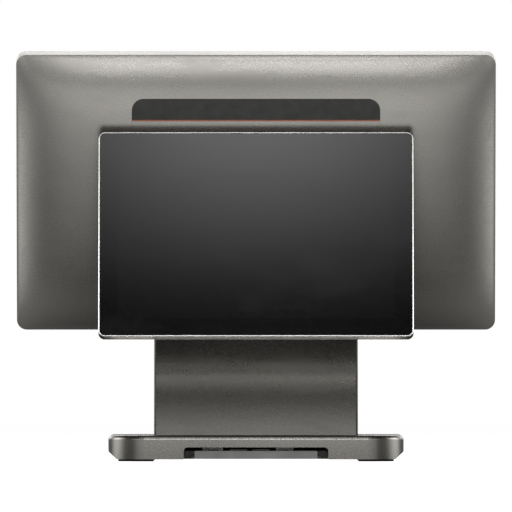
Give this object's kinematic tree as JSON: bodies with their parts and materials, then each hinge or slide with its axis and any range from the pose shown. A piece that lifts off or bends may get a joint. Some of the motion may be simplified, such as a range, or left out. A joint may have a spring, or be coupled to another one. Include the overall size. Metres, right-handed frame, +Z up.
{
  "type": "point of sale terminal",
  "caption": "Counter-top sales terminal: a tilting touchscreen for the cashier, a tilting display for the customer, on a curved neck and a weighted base with a cable opening.",
  "frame": {"origin": "on the standing surface, at the middle of the whole object's footprint", "axes": "+Z up, +X to the right as the customer sees it, +Y from the customer to the cashier"},
  "size_m": [0.376, 0.2117, 0.3214],
  "materials": {
    "shell_metal": "satin anodised warm grey",
    "silver_frame": "polished chamfer",
    "screen_glass": "black-backed gloss",
    "trim_black": "satin black",
    "accent_orange": "translucent orange",
    "cover_plastic": "light grey, fine texture",
    "rail_plastic": "mid grey, fine texture",
    "dark_plastic": "black, fine texture",
    "circuit_board": "green solder mask",
    "socket_metal": "tinned",
    "jack_plastic": "black",
    "sheet_steel": "zinc plated",
    "hinge_metal": "dark anodised",
    "bright_steel": "ground",
    "screw_steel": "black zinc",
    "bush_brass": "sintered",
    "frame_alloy": "as cast",
    "panel_back": "film",
    "foot_rubber": "matt",
    "ribbon_film": "satin film",
    "button_metal": "satin"
  },
  "bodies": {
    "base": {"ballast_plate": "sheet_steel", "base_feet": "foot_rubber", "base_floor": "sheet_steel", "base_screws": "screw_steel", "base_shell": "shell_metal", "bracket_screws": "screw_steel", "cable_trough": "dark_plastic", "cover_rails": "rail_plastic", "customer_bracket": "hinge_metal", "dc_jack": "jack_plastic", "drawer_socket": "socket_metal", "friction_rings": "bright_steel", "friction_stacks": "bright_steel", "harness_ribbon": "ribbon_film", "hinge_bushes": "bush_brass", "hinge_housing": "hinge_metal", "io_board": "circuit_board", "lan_socket": "socket_metal", "neck_cover_customer": "shell_metal", "neck_cover_operator": "shell_metal", "neck_spine": "sheet_steel", "port_panel": "dark_plastic", "spine_screws": "screw_steel", "usb_sockets": "socket_metal"},
    "main_display": {"main_rear_shell": "shell_metal", "service_cover": "shell_metal", "service_screws": "screw_steel", "trim_strip": "trim_black", "accent_line": "accent_orange", "main_touch_glass": "screen_glass", "main_lcd_panel": "panel_back", "screen_gasket": "foot_rubber", "main_mid_frame": "frame_alloy", "mainboard": "circuit_board", "heat_spreader": "frame_alloy", "speakers": "dark_plastic", "wifi_aerials": "circuit_board", "main_hinge_plate": "sheet_steel", "hinge_plate_screws": "screw_steel", "button_switch": "circuit_board", "tilt_shaft": "bright_steel", "hinge_caps": "dark_plastic"},
    "customer_display": {"customer_rear_shell": "shell_metal", "customer_frame": "silver_frame", "customer_glass": "screen_glass", "customer_lcd_panel": "panel_back", "customer_driver_board": "circuit_board", "customer_mid_plate": "frame_alloy", "customer_hinge_plate": "sheet_steel", "customer_screws": "screw_steel", "customer_shaft": "bright_steel"},
    "power_button": {"power_button": "button_metal"},
    "port_cover": {"cable_cover": "cover_plastic"}
  },
  "joints": [
    {"name": "main_tilt", "type": "hinge", "parent": "base", "child": "main_display", "pos_m": [0, -0.036, 0.15], "axis": [1, 0, 0], "range_deg": [-15, 2]},
    {"name": "customer_tilt", "type": "hinge", "parent": "base", "child": "customer_display", "pos_m": [0, -0.0555, 0.175], "axis": [1, 0, 0], "range_deg": [0, 12]},
    {"name": "power_press", "type": "slide", "parent": "main_display", "child": "power_button", "axis": [0, -0.2588, 0.9659], "range_m": [0, 0.0005], "stiffness_N_per_m": 1500, "springref_m": -0.0004},
    {"name": "cover_slide", "type": "slide", "parent": "base", "child": "port_cover", "axis": [0, -1, 0], "range_m": [0, 0.055]}
  ]
}
